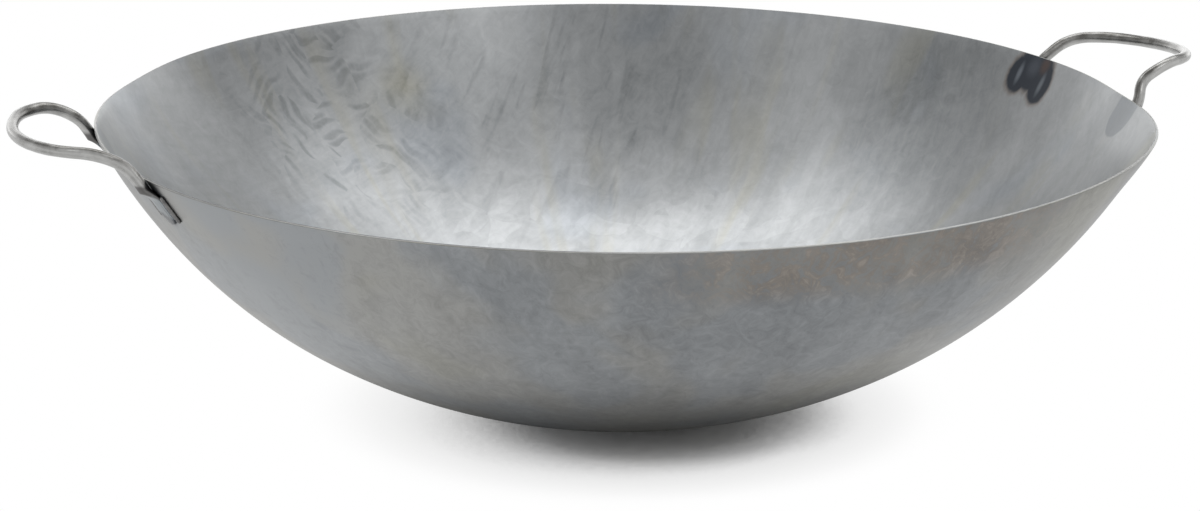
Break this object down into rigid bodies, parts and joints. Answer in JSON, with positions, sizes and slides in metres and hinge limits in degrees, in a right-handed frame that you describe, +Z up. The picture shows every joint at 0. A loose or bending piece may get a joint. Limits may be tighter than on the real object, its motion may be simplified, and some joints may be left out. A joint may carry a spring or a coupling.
{
  "type": "wok",
  "caption": "Round-bottomed carbon steel wok: a pressed sheet bowl with a plain cut rim and welded loop handles of bent round bar on opposite sides.",
  "frame": {"origin": "centre of the small flat in the middle of the bowl's underside, which the bowl rests on", "axes": "+Z up out of the bowl's mouth, +X towards the right handle, +Y away from the front"},
  "size_m": [0.7198, 0.6098, 0.1986],
  "materials": {
    "bowl_steel": "bare cold-rolled carbon steel, satin, mottled grey with faint blue and purple heat colours outside",
    "handle_steel": "bright drawn round bar, soft lengthwise sheen, darkened at the hammered feet",
    "weld_metal": "dark oxidised weld bead"
  },
  "bodies": {
    "root": {"bowl": "bowl_steel", "left_handle": "handle_steel", "right_handle": "handle_steel", "left_front_foot_inner_weld": "weld_metal", "left_front_foot_outer_weld": "weld_metal", "left_rear_foot_inner_weld": "weld_metal", "left_rear_foot_outer_weld": "weld_metal", "right_front_foot_inner_weld": "weld_metal", "right_front_foot_outer_weld": "weld_metal", "right_rear_foot_inner_weld": "weld_metal", "right_rear_foot_outer_weld": "weld_metal"}
  },
  "joints": []
}
